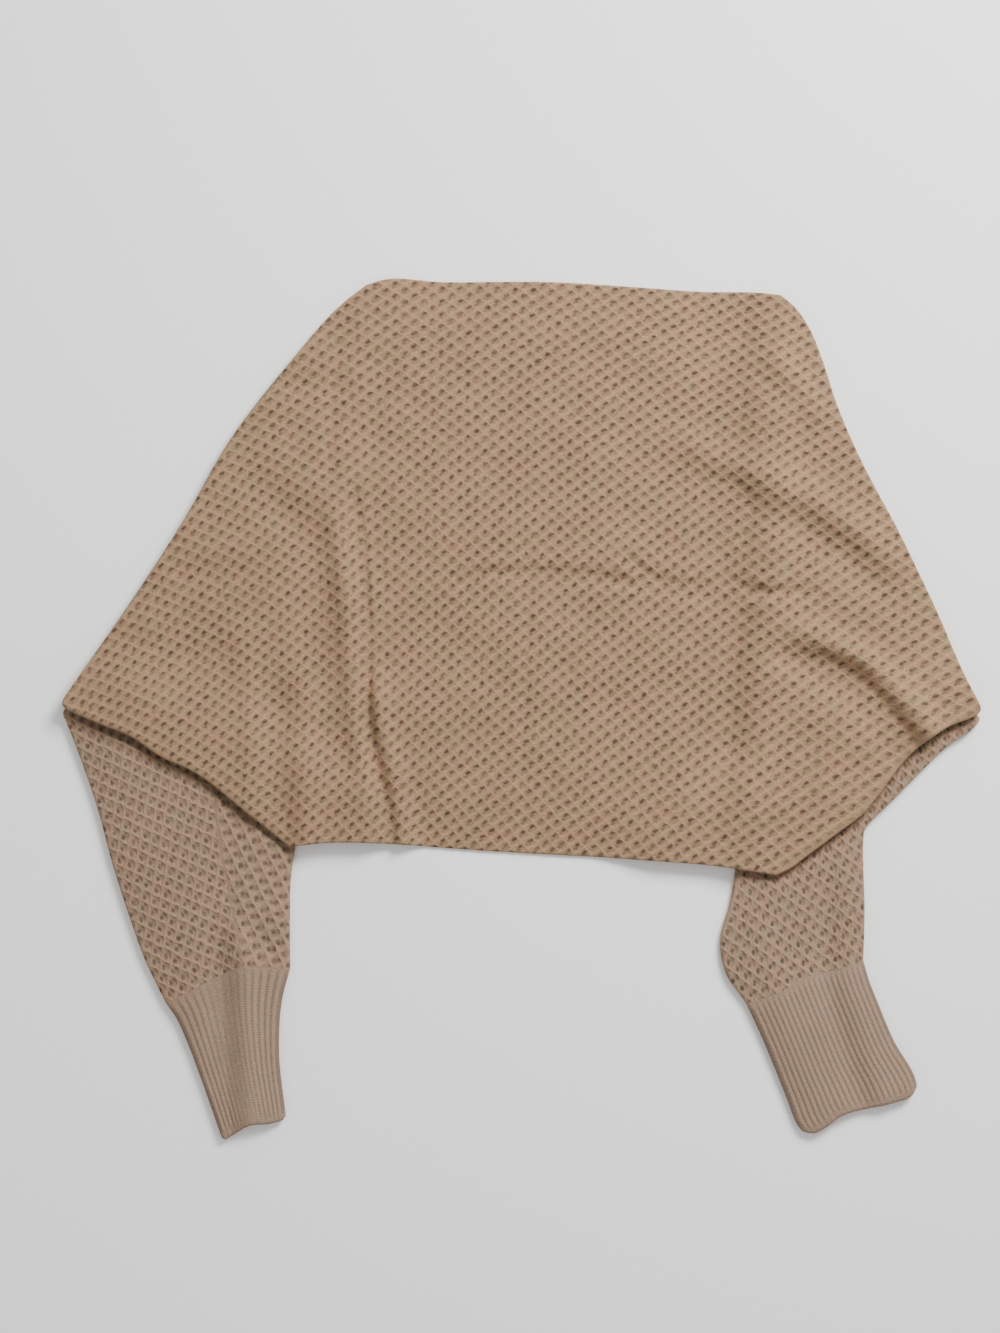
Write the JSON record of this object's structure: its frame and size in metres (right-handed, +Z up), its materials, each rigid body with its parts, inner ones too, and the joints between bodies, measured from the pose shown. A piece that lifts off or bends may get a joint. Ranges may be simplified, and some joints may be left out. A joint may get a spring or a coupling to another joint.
{
  "type": "knitted shrug",
  "caption": "Open-front knitted shrug in a tuck-stitch lattice, with batwing sleeves and long ribbed cuffs, laid flat with its back uppermost.",
  "frame": {"origin": "bottom centre of the laid garment, on the surface that it lies on", "axes": "+Z up from the surface, +Y from the cuffs towards the neck edge, +X from the wearer's left elbow to the right elbow, seen with the back uppermost"},
  "size_m": [0.6652, 0.6226, 0.016],
  "materials": {
    "knit_body": "matt heathered cotton-wool yarn knitted in a tuck lattice",
    "knit_sleeve": "the same tuck lattice, its courses running along the sleeve",
    "rib_cuff": "1 x 1 rib in the same yarn, smoother and slightly greyer"
  },
  "bodies": {
    "root": {"back": "knit_body", "front_left": "knit_body", "front_right": "knit_body", "sleeve_left": "knit_sleeve", "sleeve_right": "knit_sleeve", "cuff_left": "rib_cuff", "cuff_right": "rib_cuff"}
  },
  "joints": []
}
